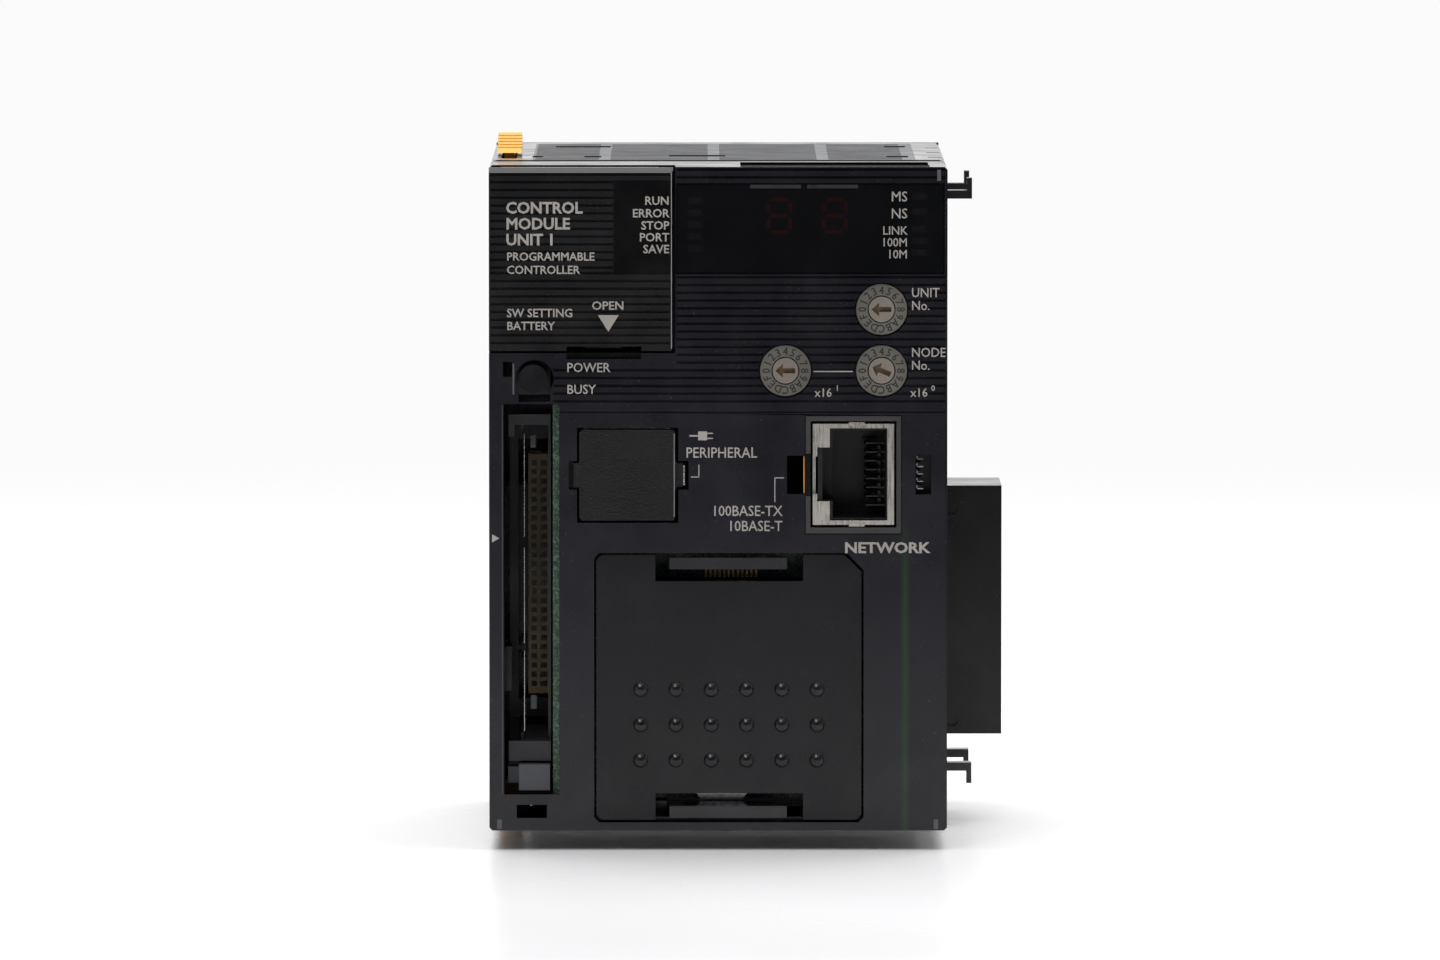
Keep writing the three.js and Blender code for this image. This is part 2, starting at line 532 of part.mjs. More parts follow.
function ejectButton() {
  const { x, y, z, rodX: rx, rodZ: rz } = EJECT;
  const cap = block(x, y, z);
  const bridge = block([rx[0], x[1] - 0.6], [y[1] - 1, y[1]], [rz[0], rz[1]]);
  const rod = block(rx, [y[1] - 1, LEVER.y - LEVER.half - 0.4], rz);
  return join(cap, bridge, rod);
}

function ejectLever() {
  const { x, y, z, half, reach } = LEVER;
  const bar = block(x, [y - half, y + half], [z - reach[0], z + reach[1]]);
  return cut(join(bar, rodX(x, y, z, 2, 20)), rodX(grow(x, 1), y, z, 0.8, 16));
}

function cardPusher() {
  const [x0, x1] = LEVER.x;
  const { y, z, footZ } = PUSHER;
  const bar = block([x0, x1], y, z);
  const foot = block([x0, x1], [y[1] - 0.1, LEVER.y - LEVER.half - 0.7], footZ);
  const lugs = [[z[0], z[0] + 2.4], [z[1] - 2.4, z[1]]].map((span) => block([x0, 7.6], y, span));
  return join(bar, foot, ...lugs);
}

function leverPost() {
  const { x, y, z } = LEVER;
  const pin = rodX([x[0] - 0.6, x[1] + 1], y, z, 0.65, 16);
  const head = rodX([x[0] - 0.7, x[0] - GAP], y, z, 1.2, 16);
  const collar = rodX([x[1] + GAP, x[1] + 1], y, z, 1.4, 16);
  return join(pin, head, collar);
}

// ---- ports --------------------------------------------------------------------------------------

function usbLid() {
  const { x, z, hingeX, tabZ, thick } = USB;
  const panel = alongY(plate(x, z, 0.4), [0.1, 0.1 + thick]);
  const face = cut(panel, edgeCut(x[1], 0.1, z, USB.edge));
  const tab = block([hingeX - 0.5, x[0] + 0.5], [0.1, 0.8], tabZ);
  const knuckle = rodZ(hingeX - 0.2, 0.4, 0.4, tabZ, 12);
  const catchTab = block([x[1] - 0.4, x[1] + 0.9], [0.7, 1.5], tabZ);
  const rim = cut(
    block([x[0] + 1.2, x[1] - 1.6], [1.4, 2.3], [z[0] + 1.2, z[1] - 1.2]),
    block([x[0] + 2, x[1] - 2.4], [1.5, 3], [z[0] + 2, z[1] - 2]),
  );
  return join(face, tab, knuckle, catchTab, rim);
}

function usbShell() {
  const { x, y, z, hole } = USB_PORT;
  const spanX = grow([middle(x), middle(x)], hole[0] / 2);
  const spanZ = grow([middle(z), middle(z)], hole[1] / 2);
  return cut(block(x, y, z), block(spanX, [y[0] - CUT, y[1] - 1], spanZ));
}

function usbTongue() {
  const cx = middle(USB_PORT.x);
  const cz = middle(USB_PORT.z);
  return block([cx - 2.8, cx + 2.8], [USB_PORT.tongueY, USB_PORT.y[1] - 1 - GAP], [cz - 1.6, cz + 1.6]);
}

function jackShield() {
  const { x, y, z, sheet } = JACK;
  const inside = block(grow(x, -sheet), [y[0] + sheet, y[1] + CUT], grow(z, -sheet));
  const front = [y[0] - CUT, 2];
  const mouth = block(JACK_CAVITY.x, front, JACK_CAVITY.z);
  const key = block(JACK_KEY.x, front, JACK_KEY.z);
  const keyTop = block([x[0] - CUT, JACK_KEY.x[0] + 0.1], front, [45.7, 50.8]);
  const spring = JACK_SPRING;
  const springs = z.map((edge) => block(spring.x, [y[0] - spring.out, 3], grow([edge, edge], spring.half)));
  return join(cut(block(x, y, z), inside, mouth, key, keyTop), ...springs);
}

function jackInsert() {
  const { x, y, z, sheet } = JACK;
  const outside = block(grow(x, -sheet - GAP), [y[0] + sheet + GAP, y[1]], grow(z, -sheet - GAP));
  const [left, right] = JACK_CAVITY.x;
  const cavity = block([left + 0.4, right - 0.2], [0, JACK_CAVITY.backY], grow(JACK_CAVITY.z, -0.3));
  const key = block([45.1, JACK_CAVITY.x[0] + 0.5], [0, 9], JACK_KEY.z);
  return cut(outside, cavity, key);
}

function jackContacts() {
  const { count, pitch, width, comb, combY } = JACK_PINS;
  const bars = [];
  for (let i = 0; i < count; i += 1) {
    const z = middle(JACK_CAVITY.z) + (i - (count - 1) / 2) * pitch;
    const spring = outline([[2.2, 53], [3, 53.3], [12.2, 51.2], [12.2, 50.8], [2.2, 52.6]]);
    const axes = new THREE.Matrix4().set(0, 1, 0, 0, 1, 0, 0, 0, 0, 0, -1, z + width / 2, 0, 0, 0, 1);
    const geometry = new THREE.ExtrudeGeometry(spring, { depth: width, bevelEnabled: false });
    bars.push(solid(geometry.applyMatrix4(axes)));
  }
  const span = ((count - 1) / 2) * pitch + 0.6;
  const centre = middle(JACK_CAVITY.z);
  return join(block(comb, combY, [centre - span, centre + span]), ...bars);
}

function serviceHeader() {
  const body = block([57.5, 59.9], [4, 9], [HEADER.z[0] - 0.4, HEADER.z[1] + 0.4]);
  const pins = [0, 1, 2, 3, 4].map((i) => block([57.9, 58.4], [1.2, 4.1], [46.3 + i * 1, 46.8 + i * 1]));
  return join(body, ...pins);
}

// ---- option bay ---------------------------------------------------------------------------------

function optionOutline(by) {
  const [x0, x1] = grow(OPTION.x, by);
  const [z0, z1] = grow(OPTION.z, by);
  const { corner: c, chamfer: k } = OPTION;
  return outline([
    [x0 + c, z0], [x1 - c, z0], [x1, z0 + c], [x1, z1 - k],
    [x1 - k, z1], [x0 + c, z1], [x0, z1 - c], [x0, z0 + c],
  ]);
}

function optionCover() {
  const { y, z } = OPTION;
  const { x: nx, deep } = OPTION_NOTCH;
  const board = cut(
    alongY(optionOutline(0), y),
    block(nx, [-CUT, 4], [z[1] - deep, z[1] + CUT]),
    block(nx, [-CUT, 4], [z[0] - CUT, z[0] + deep]),
  );
  const skirts = [[15.2, 16.4], [48.4, 49.6]].map((x) => block(x, [y[1] - 0.1, 10.2], [4, 34]));
  const yokes = [[z[1] - 4.4, z[1] - 3.6], [z[0] + 3.6, z[0] + 4.4]].map((span) =>
    block([15.2, 49.6], [9, 10.2], span),
  );
  const bumps = [];
  for (const rowZ of DOMES.rowsZ) {
    for (let i = 0; i < DOMES.columns; i += 1) {
      bumps.push(domeAt(DOMES.x0 + i * DOMES.pitch, rowZ));
    }
  }
  return join(board, ...skirts, ...yokes, ...bumps);
}

function domeAt(x, z) {
  const profile = [[0, 0], [1, 0], [0.94, 0.26], [0.75, 0.52], [0.42, 0.7], [0, 0.77]];
  const points = profile.map(([r, h]) => new THREE.Vector2(r * DOMES.radius, h));
  const geometry = new THREE.LatheGeometry(points, 14);
  return solid(geometry.rotateX(Math.PI).translate(x, OPTION.y[0] + 0.02, z));
}

function optionLatch(flip) {
  const place = (z) => (flip ? [OPTION.z[0] + OPTION.z[1] - z[1], OPTION.z[0] + OPTION.z[1] - z[0]] : z);
  const { x, high, hingeY } = OPTION_TAB;
  const top = OPTION.z[1];
  const tab = block(x, [0, 1.4], place([top - high, top - 0.35]));
  const arm = block([x[0] + 2, x[1] - 2], [1.3, hingeY], place([top - 1.8, top - 1]));
  return join(tab, arm);
}

function optionConnector() {
  const housing = block([27.5, 38], [OPTION_BOARD.y[0] - 3, OPTION_BOARD.y[0] - GAP], [20, 26]);
  return cut(housing, block([28.5, 37], [8, OPTION_BOARD.y[0] - 1.2], [21.2, 24.8]));
}

function optionBoard() {
  const { x, y, z } = OPTION_BOARD;
  return block([x[0] + 0.2, x[1]], y, z);
}

// ---- expansion bus ------------------------------------------------------------------------------

function busPlug() {
  const { y, z, reach } = BUS;
  const right = BODY.width;
  const sleeve = block([NET_BOARD.x[1] + 0.5, right + reach], y, z);
  const mouth = block([right + 1.2, right + reach + CUT], grow(y, -1.4), grow(z, -1.6));
  const blade = block([right + 1, right + reach - 1.2], grow(y, -6), grow(z, -3.4));
  const { radius, deep, inset, fromEnds } = BUS_DIMPLE;
  const dimpleZ = [z[0] + fromEnds[0], z[1] - fromEnds[1]];
  const dimples = dimpleZ.map((at) => rodY(right + inset, at, radius, [y[0] - CUT, y[0] + deep], 14));
  return join(cut(sleeve, mouth, ...dimples), blade);
}

function busSocket() {
  const { y, z, reach } = BUS;
  const body = block([0.5, 10.4], y, z);
  const mouth = block([-CUT, reach + 0.6], grow(y, -0.9), grow(z, -0.9));
  const core = block([2, reach + 1], grow(y, -3.2), grow(z, -2.6));
  const slit = block([0, reach], grow(y, -5.6), grow(z, -3));
  return join(cut(body, mouth), cut(core, slit));
}

// ---- assembly -----------------------------------------------------------------------------------

function housing() {
  const group = new THREE.Group();
  group.add(piece("front_cover", frontCover(), BLACK));
  group.add(piece("rear_case", rearCase(), BLACK));
  group.add(piece("top_vent_grille", ventGrille(false), BLACK));
  group.add(piece("bottom_vent_grille", ventGrille(true), BLACK));
  group.add(piece("back_cover", backCover(), SOFT_BLACK));
  group.add(piece("rail_lock_pin", lockPin(), SOFT_BLACK));
  const pane = block(grow(WINDOW.x, -0.2), [0.1, WINDOW.thick], grow(WINDOW.z, -0.2));
  group.add(piece("display_window", pane, SMOKE));
  const top = piece("top_slider", slider(), AMBER);
  top.position.z = BODY.height;
  const bottom = piece("bottom_slider", slider().mirror([0, 0, 1]), AMBER);
  group.add(top, bottom);
  return group;
}

function batteryBay() {
  const group = new THREE.Group();
  const battery = batteryParts();
  group.add(piece("battery_lid", batteryLid(), BLACK));
  group.add(piece("battery_cell", battery.cell, WHITE));
  group.add(piece("battery_lead", battery.lead, RED));
  group.add(piece("battery_plug", battery.plug, WHITE));
  group.add(piece("battery_socket", battery.socket, BEIGE));
  group.add(piece("dip_switch_body", dipBody(), GREY));
  for (let i = 0; i < DIP.count; i += 1) {
    const knob = block([0, 1.8], [0, 2.4], [-0.55, 0.55]);
    const actuator = piece(`dip_actuator_${DIP.count - i}`, knob, WHITE);
    actuator.position.set(DIP.x[0] + 2.3, DIP.y[0] - 1.2, dipZ(i));
    group.add(actuator);
  }
  return group;
}

function electronics() {
  const group = new THREE.Group();
  group.add(piece("cpu_board", cpuBoard(), GREEN));
  group.add(piece("network_board", netBoard(), GREEN));
  group.add(piece("display_board", screenBoard(), GREEN));
  group.add(piece("option_board", optionBoard(), GREEN));
  group.add(piece("digit_display_tens", digitBlock(DIGITS.tens), SMOKE));
  group.add(piece("digit_display_units", digitBlock(DIGITS.units), SMOKE));
  group.add(piece("status_light_guide", lightGuide([26.9, 28.9], [85.4, 83.8, 82.2, 80.6, 79]), WHITE));
  group.add(piece("network_light_guide", lightGuide([57.2, 59.2], [86, 84, 81.6, 80, 78.4]), WHITE));
  for (const [name, { x, z, turn }] of Object.entries(DIALS)) {
    const body = piece(`${name}_dial_body`, dialBody(), CREAM);
    const rotor = piece(`${name}_dial_rotor`, dialRotor(), CREAM);
    body.position.set(x, 0, z);
    rotor.position.set(x, 0, z);
    rotor.rotation.y = turn * DIAL.step;
    group.add(body, rotor);
  }
  group.add(piece("capacitor_can", rodY(31.5, 6, 3.9, [10.6, OPTION_BOARD.y[0] - GAP], 24), TIN));
  group.add(piece("option_connector", optionConnector(), SOFT_BLACK));
  group.add(piece("bus_plug", busPlug(), BLACK));
  group.add(piece("bus_socket", busSocket(), SOFT_BLACK));
  return group;
}

function cardSlot() {
  const group = new THREE.Group();
  group.add(piece("card_power_button", rodY(BUTTON.x, BUTTON.z, BUTTON.radius, [0.5, 5.2], 24), SOFT_BLACK));
  group.add(piece("card_power_switch", block([3, 8.2], [6.6, 10], [58.8, 63.5]), GREY));
  group.add(piece("card_guide", cardGuide(), GREY));
  group.add(piece("card_connector", cardConnector(), BEIGE));
  group.add(piece("eject_button", ejectButton(), GREY));
  group.add(piece("eject_lever", ejectLever(), TIN));
  group.add(piece("eject_pivot_post", leverPost(), TIN));
  group.add(piece("card_pusher", cardPusher(), TIN));
  return group;
}

function ports() {
  const group = new THREE.Group();
  group.add(piece("usb_lid", usbLid(), SOFT_BLACK));
  group.add(piece("usb_shell", usbShell(), TIN));
  group.add(piece("usb_tongue", usbTongue(), SOFT_BLACK));
  group.add(piece("jack_shield", jackShield(), TIN));
  group.add(piece("jack_insert", jackInsert(), SOFT_BLACK));
  group.add(piece("jack_contacts", jackContacts(), GOLD));
  group.add(piece("service_header", serviceHeader(), WHITE));
  group.add(piece("option_cover", optionCover(), SOFT_BLACK));
  group.add(piece("option_latch_top", optionLatch(false), SOFT_BLACK));
  group.add(piece("option_latch_bottom", optionLatch(true), SOFT_BLACK));
  return group;
}

const controller = new THREE.Group();
controller.add(housing(), batteryBay(), electronics(), cardSlot(), ports());
// The frame's origin is under the middle of the whole module, at the foot of the lower slider.
controller.position.set(-(BODY.width + BUS.reach) / 2, -BODY.depth / 2, SLIDER.rise[1]);

export default controller;
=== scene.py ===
"""Looks of the controller module: materials, printed legends, contacts, floor, light and camera."""

import math

import bmesh
import bpy
from mathutils import Matrix, Vector


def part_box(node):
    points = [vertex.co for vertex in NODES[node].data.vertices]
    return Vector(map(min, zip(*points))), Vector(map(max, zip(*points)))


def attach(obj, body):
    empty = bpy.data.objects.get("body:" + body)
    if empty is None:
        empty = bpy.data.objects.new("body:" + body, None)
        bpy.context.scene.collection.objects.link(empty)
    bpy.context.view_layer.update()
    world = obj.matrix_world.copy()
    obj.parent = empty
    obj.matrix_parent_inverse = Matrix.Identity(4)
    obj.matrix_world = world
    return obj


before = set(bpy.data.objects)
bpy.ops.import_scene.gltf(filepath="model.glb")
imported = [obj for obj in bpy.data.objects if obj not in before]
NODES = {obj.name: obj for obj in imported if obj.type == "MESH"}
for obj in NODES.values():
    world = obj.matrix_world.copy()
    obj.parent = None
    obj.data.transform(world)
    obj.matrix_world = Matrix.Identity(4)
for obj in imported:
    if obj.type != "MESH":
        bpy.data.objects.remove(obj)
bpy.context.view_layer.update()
MM = 0.001
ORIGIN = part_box("front_cover")[0]  # left, front, bottom corner of the front cover
FRONT = -0.02  # how far printed legends stand in front of the face, in mm
HAIR = 0.012  # how far an inlaid skin stands in front of its face, in mm
SUNK = 0.01  # how deep such a skin reaches into its piece, in mm


def at(x, y, z):
    """A point given in mm from the left side, the front face and the bottom."""
    return ORIGIN + Vector((x, y, z)) * MM


def front_of(name):
    """How far a node's front lies behind the face of the module, in mm."""
    return (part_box(name)[0].y - ORIGIN.y) / MM


def skin(face=0.0):
    """The y range, in mm, of a skin inlaid in a face that looks forward."""
    return face - HAIR, face + SUNK


# ---------------------------------------------------------------- node helpers


def new_material(name):
    """A material, with its node tree and its Principled shader."""
    material = bpy.data.materials.new(name)
    material.use_nodes = True
    return material, material.node_tree, material.node_tree.nodes["Principled BSDF"]


def node(tree, kind, **inputs):
    """A new node with these inputs set; an underscore in a key stands for a space."""
    made = tree.nodes.new(kind)
    for key, value in inputs.items():
        made.inputs[key.replace("_", " ")].default_value = value
    return made


def noise(tree, scale, detail=3.0, stretch=None):
    """Object-space noise; scale is in cycles per metre."""
    source = tree.nodes.new("ShaderNodeTexCoord").outputs["Object"]
    made = node(tree, "ShaderNodeTexNoise", Scale=scale, Detail=detail)
    if stretch:
        mapping = node(tree, "ShaderNodeMapping", Scale=stretch)
        tree.links.new(source, mapping.inputs["Vector"])
        source = mapping.outputs["Vector"]
    tree.links.new(source, made.inputs["Vector"])
    return made.outputs["Fac"]


def ramp(tree, source, low, high, start=0.3, end=0.7):
    """Maps source from start..end to the numbers or colours low..high."""
    made = tree.nodes.new("ShaderNodeValToRGB")
    for element, place, value in zip(made.color_ramp.elements, (start, end), (low, high)):
        element.position = place
        element.color = (value,) * 3 + (1,) if isinstance(value, float) else (*value, 1)
    tree.links.new(source, made.inputs["Fac"])
    return made.outputs["Color"]


def add_bump(tree, shader, height, strength, distance):
    """Bumps the surface by height, a socket; distance is its full height in metres."""
    made = node(tree, "ShaderNodeBump", Strength=strength, Distance=distance)
    tree.links.new(height, made.inputs["Height"])
    tree.links.new(made.outputs["Normal"], shader.inputs["Normal"])


def scaled(colour, factor):
    """A colour made brighter or darker."""
    return tuple(min(1.0, c * factor) for c in colour)


def object_axis(tree, axis):
    """The X, Y or Z of the surface point, in metres."""
    split = tree.nodes.new("ShaderNodeSeparateXYZ")
    tree.links.new(tree.nodes.new("ShaderNodeTexCoord").outputs["Object"], split.inputs["Vector"])
    return split.outputs[axis]


def fade(tree, source, start, end, low=0.0, high=1.0):
    """low where source is at start, and high where it is at end."""
    made = node(tree, "ShaderNodeMapRange", From_Min=start, From_Max=end, To_Min=low, To_Max=high)
    tree.links.new(source, made.inputs["Value"])
    return made.outputs["Result"]


def calculate(tree, operation, first, second):
    """The product, maximum or the like of two sockets."""
    made = tree.nodes.new("ShaderNodeMath")
    made.operation = operation
    tree.links.new(first, made.inputs[0])
    tree.links.new(second, made.inputs[1])
    return made.outputs[0]


def blend_colour(tree, factor, first, second):
    """first where factor is 0 and second where it is 1; each is a socket or a colour."""
    mix = tree.nodes.new("ShaderNodeMix")
    mix.data_type = "RGBA"
    tree.links.new(factor, mix.inputs["Factor"])
    for key, value in (("A", first), ("B", second)):
        if isinstance(value, tuple):
            mix.inputs[key].default_value = (*value, 1)
        else:
            tree.links.new(value, mix.inputs[key])
    return mix.outputs["Result"]


# ---------------------------------------------------------------- kinds of material

# Each inside is (axis, start, end, tone): from start to end, in mm, the colour goes over to tone.
GROOVE_SHADE = ("Y", 0.04, 0.14, 0.05)  # painted shade: the grooves in the front are darker than the lands
ROTOR_FACE = front_of("unit_dial_rotor")
ARROW = ("Y", ROTOR_FACE + 0.05, ROTOR_FACE + 0.12, (0.2, 0.132, 0.07))  # the arrow slot is tan
UNDERSIDE = ("Z", -0.2, 0.5, 0.12)  # the lower slider's sole lies in shadow

# The edge of the network board, seen through the smoked front: a line at x, fading in below top, in mm.
BOARD_LINE = {"x": 56.3, "half_width": 0.7, "top": 44.0, "fade": 10.0, "colour": (0.014, 0.031, 0.014)}


def plastic(name, colour, rough=0.3, vary=0.15, grain=9000, bump=0.15, depth=4e-6, specular=0.5, dust=0.0,
            inside=None):
    """Moulded plastic: uneven tone, smudged gloss and a fine moulded grain.

    The tone that inside ends in is a colour, or a factor of this colour."""
    material, tree, shader = new_material(name)
    tone = ramp(tree, noise(tree, 90), scaled(colour, 1 - vary), scaled(colour, 1 + vary))
    if inside:
        axis, start, end, deep_tone = inside
        ends = at(start, start, start), at(end, end, end)
        deep = fade(tree, object_axis(tree, axis), *(point["XYZ".index(axis)] for point in ends))
        if not isinstance(deep_tone, tuple):
            deep_tone = scaled(colour, deep_tone)
        tone = blend_colour(tree, deep, tone, deep_tone)
    if dust:
        specks = ramp(tree, noise(tree, 2600, 1.0), 0.0, 1.0, 0.74, 0.78)
        tone = blend_colour(tree, specks, tone, scaled(colour, 1 + dust))
    tree.links.new(tone, shader.inputs["Base Color"])
    gloss = ramp(tree, noise(tree, 160, 6.0), max(0.02, rough - 0.06), rough + 0.08)
    tree.links.new(gloss, shader.inputs["Roughness"])
    shader.inputs["Specular IOR Level"].default_value = specular
    add_bump(tree, shader, noise(tree, grain, 2.0), bump, depth)
    return material


def smoked_shell(name, colour):
    """Smoked front plastic: the network board's edge shows through as a faint green line."""
    material = plastic(name, colour, rough=0.18, dust=2.5, specular=0.42, inside=GROOVE_SHADE)
    tree = material.node_tree
    base = tree.nodes["Principled BSDF"].inputs["Base Color"]
    middle, top = at(BOARD_LINE["x"], 0, 0).x, at(0, 0, BOARD_LINE["top"]).z
    half = BOARD_LINE["half_width"] * MM
    left, right = [fade(tree, object_axis(tree, "X"), middle + way * half, middle) for way in (-1, 1)]
    below = fade(tree, object_axis(tree, "Z"), top, top - BOARD_LINE["fade"] * MM)
    seen = calculate(tree, "MULTIPLY", calculate(tree, "MULTIPLY", left, right), below)
    tone = base.links[0].from_socket
    tree.links.new(blend_colour(tree, seen, tone, BOARD_LINE["colour"]), base)
    return material


def metal(name, colour, rough=0.28, stretch=(1, 1, 1)):
    """Drawn sheet metal with fine marks along one way and a few dull patches."""
    material, tree, shader = new_material(name)
    tone = ramp(tree, noise(tree, 400, 5.0), scaled(colour, 0.8), scaled(colour, 1.1))
    tree.links.new(tone, shader.inputs["Base Color"])
    marks = noise(tree, 5000, 4.0, stretch)
    tree.links.new(ramp(tree, marks, rough - 0.08, rough + 0.14), shader.inputs["Roughness"])
    shader.inputs["Metallic"].default_value = 1.0
    add_bump(tree, shader, marks, 0.2, 3e-6)
    return material


def board(name, colour, light):
    """Solder mask over woven glass, with faint copper tracks under it."""
    material, tree, shader = new_material(name)
    tracks = node(tree, "ShaderNodeTexBrick", Scale=700, Mortar_Size=0.05, Brick_Width=0.9, Row_Height=0.7,
                  Color1=(*colour, 1), Color2=(*scaled(colour, 0.7), 1), Mortar=(*light, 1))
    mapping = node(tree, "ShaderNodeMapping", Rotation=(0, math.pi / 2, 0))
    tree.links.new(tree.nodes.new("ShaderNodeTexCoord").outputs["Object"], mapping.inputs["Vector"])
    tree.links.new(mapping.outputs["Vector"], tracks.inputs["Vector"])
    threads = ramp(tree, noise(tree, 4200, 2.0), 0.0, 1.0, 0.5, 0.62)
    tone = blend_colour(tree, threads, tracks.outputs["Color"], scaled(light, 2.2))
    tree.links.new(tone, shader.inputs["Base Color"])
    tree.links.new(ramp(tree, noise(tree, 700), 0.25, 0.5), shader.inputs["Roughness"])
    add_bump(tree, shader, noise(tree, 9000, 2.0), 0.4, 1e-5)
    return material


def clear(name, colour):
    """Clear moulded plastic, as in a light guide; also the flat light grey of painted highlights on
    corners and edges.
    """
    material, tree, shader = new_material(name)
    tone = ramp(tree, noise(tree, 300), scaled(colour, 0.85), scaled(colour, 1.1))
    tree.links.new(tone, shader.inputs["Base Color"])
    tree.links.new(ramp(tree, noise(tree, 300, 4.0), 0.25, 0.4), shader.inputs["Roughness"])
    shader.inputs["Specular IOR Level"].default_value = 0.15
    return material


def acrylic(name, colour):
    """The gloss of the smoked window, which also lies over what shows through it."""
    return plastic(name, colour, rough=0.07, bump=0.05, specular=0.42)


def ink(name, colour):
    """Screen-printed ink, slightly uneven."""
    return plastic(name, colour, rough=0.55, vary=0.12, grain=20000, bump=0.2, depth=2e-6, specular=0.3)


# ---------------------------------------------------------------- looks

M = {
    "shell": smoked_shell("shell_black", (0.0092, 0.0089, 0.0128)),
    "lid": plastic("lid_black", (0.0100, 0.0100, 0.0106), rough=0.2, dust=1.5, inside=GROOVE_SHADE),
    "lid_panel": plastic("lid_panel_black", (0.0022, 0.0022, 0.0026), rough=0.2, specular=0.34),
    "satin": plastic("satin_black", (0.0042, 0.0042, 0.0056), rough=0.24, bump=0.25, dust=2.0,
                     specular=0.42),
    "textured": plastic("textured_black", (0.0045, 0.0045, 0.005), rough=0.33, grain=4200, bump=1.0,
                        depth=9e-5, specular=0.34, dust=1.5),
    "latch": plastic("latch_black", (0.016, 0.016, 0.018), rough=0.2, bump=0.25),
    "display": plastic("display_black", (0.003, 0.003, 0.004), rough=0.8, specular=0.0),
    "matte": plastic("matte_black", (0.03, 0.03, 0.032), rough=0.8, specular=0.0),
    "surround": plastic("surround_smoke", (0.042, 0.039, 0.039)),
    "case": plastic("case_black", (0.014, 0.014, 0.0165), rough=0.17, dust=2.0),
    "grille": plastic("grille_grey", (0.05, 0.052, 0.056), rough=0.38, bump=0.3),
    "deep": plastic("deep_black", (0.004, 0.004, 0.005), rough=0.35),
    "grey": plastic("mid_grey", (0.05, 0.052, 0.06), rough=0.4, bump=0.4),
    "dark_grey": plastic("dark_grey", (0.017, 0.017, 0.02), rough=0.35, bump=0.4),
    "dial": plastic("dial_cream", (0.128, 0.12, 0.103), rough=0.34, vary=0.14, bump=0.5, depth=1e-5),
    "rotor": plastic("rotor_cream", (0.19, 0.168, 0.14), rough=0.36, vary=0.1, bump=0.3, inside=ARROW),
    "amber": plastic("slider_amber", (0.78, 0.35, 0.024), rough=0.38, vary=0.06, bump=0.3),
    "amber_low": plastic("slider_amber_low", (0.78, 0.35, 0.024), rough=0.38, inside=UNDERSIDE),
    "beige": plastic("connector_beige", (0.42, 0.33, 0.2), rough=0.5, bump=0.4),
    "dull": metal("dull_steel", (0.10, 0.10, 0.11), rough=0.34, stretch=(0.06, 1, 1)),
    "wire": metal("contact_wire", (0.035, 0.032, 0.03), rough=0.34),
    "orange": plastic("spring_orange", (0.75, 0.33, 0.04), rough=0.35),
    "white": plastic("white_nylon", (0.68, 0.66, 0.6), rough=0.42, vary=0.06, bump=0.3),
    "red": plastic("lead_red", (0.4, 0.02, 0.02), rough=0.45, bump=0.4),
    "tin": metal("tinned_steel", (0.66, 0.62, 0.55), stretch=(1, 1, 0.06)),
    "steel": metal("bright_steel", (0.62, 0.61, 0.6), rough=0.2, stretch=(0.06, 1, 1)),
    "gold": metal("gold_plate", (0.83, 0.58, 0.24), rough=0.22),
    "board": board("solder_mask", (0.02, 0.045, 0.027), (0.05, 0.09, 0.055)),
    "window": acrylic("smoked_acrylic", (0.0030, 0.0033, 0.0037)),
    "lamp": acrylic("lamp_behind_acrylic", (0.0062, 0.0062, 0.0068)),
    "segment": acrylic("segment_behind_acrylic", (0.0155, 0.0033, 0.0035)),
    "guide": clear("light_guide", (0.07, 0.07, 0.07)),
    "bar": clear("segment_edge", (0.032, 0.031, 0.033)),
    # painted highlights, drawn as flat light grey skins on lit edges and corners
    "faint_highlight": clear("faint_painted_highlight", (0.10, 0.10, 0.108)),
    "bright_painted_highlight": clear("bright_painted_highlight", (0.26, 0.26, 0.27)),
    "legend": ink("legend_grey", (0.335, 0.31, 0.285)),
    "engraved": ink("engraved_grey", (0.02, 0.018, 0.016)),
}
LOOK = {
    "front_cover": "shell", "rear_case": "case", "back_cover": "case", "battery_lid": "lid",
    "top_vent_grille": "grille", "bottom_vent_grille": "grille", "rail_lock_pin": "satin",
    "usb_lid": "textured", "option_cover": "satin", "option_latch_top": "latch",
    "option_latch_bottom": "latch", "bus_plug": "shell", "bus_socket": "satin",
    "option_connector": "deep", "usb_tongue": "deep", "jack_insert": "deep",
    "card_power_button": "satin", "display_window": "window", "digit_display_tens": "display",
    "digit_display_units": "display", "display_board": "display", "dip_switch_body": "grey",
    "card_power_switch": "grey", "card_guide": "dark_grey", "eject_button": "grey",
    "top_slider": "amber", "bottom_slider": "amber_low", "usb_shell": "tin", "jack_shield": "tin",
    "capacitor_can": "steel", "eject_lever": "dull", "eject_pivot_post": "dull",
    "card_pusher": "deep", "jack_contacts": "wire", "service_header": "deep",
    "card_connector": "beige", "battery_socket": "beige", "battery_lead": "red",
    "status_light_guide": "guide", "network_light_guide": "guide",
}
LOOK_BY_ENDING = {"_board": "board", "_dial_body": "dial", "_dial_rotor": "rotor"}


def look_of(name):
    """The look of a CAD node: its own, that of its kind, or white nylon."""
    if name in LOOK:
        return LOOK[name]
    return next((look for ending, look in LOOK_BY_ENDING.items() if name.endswith(ending)), "white")


for name, obj in NODES.items():
    obj.data.materials.clear()
    obj.data.materials.append(M[look_of(name)])

# ---------------------------------------------------------------- rounded edges

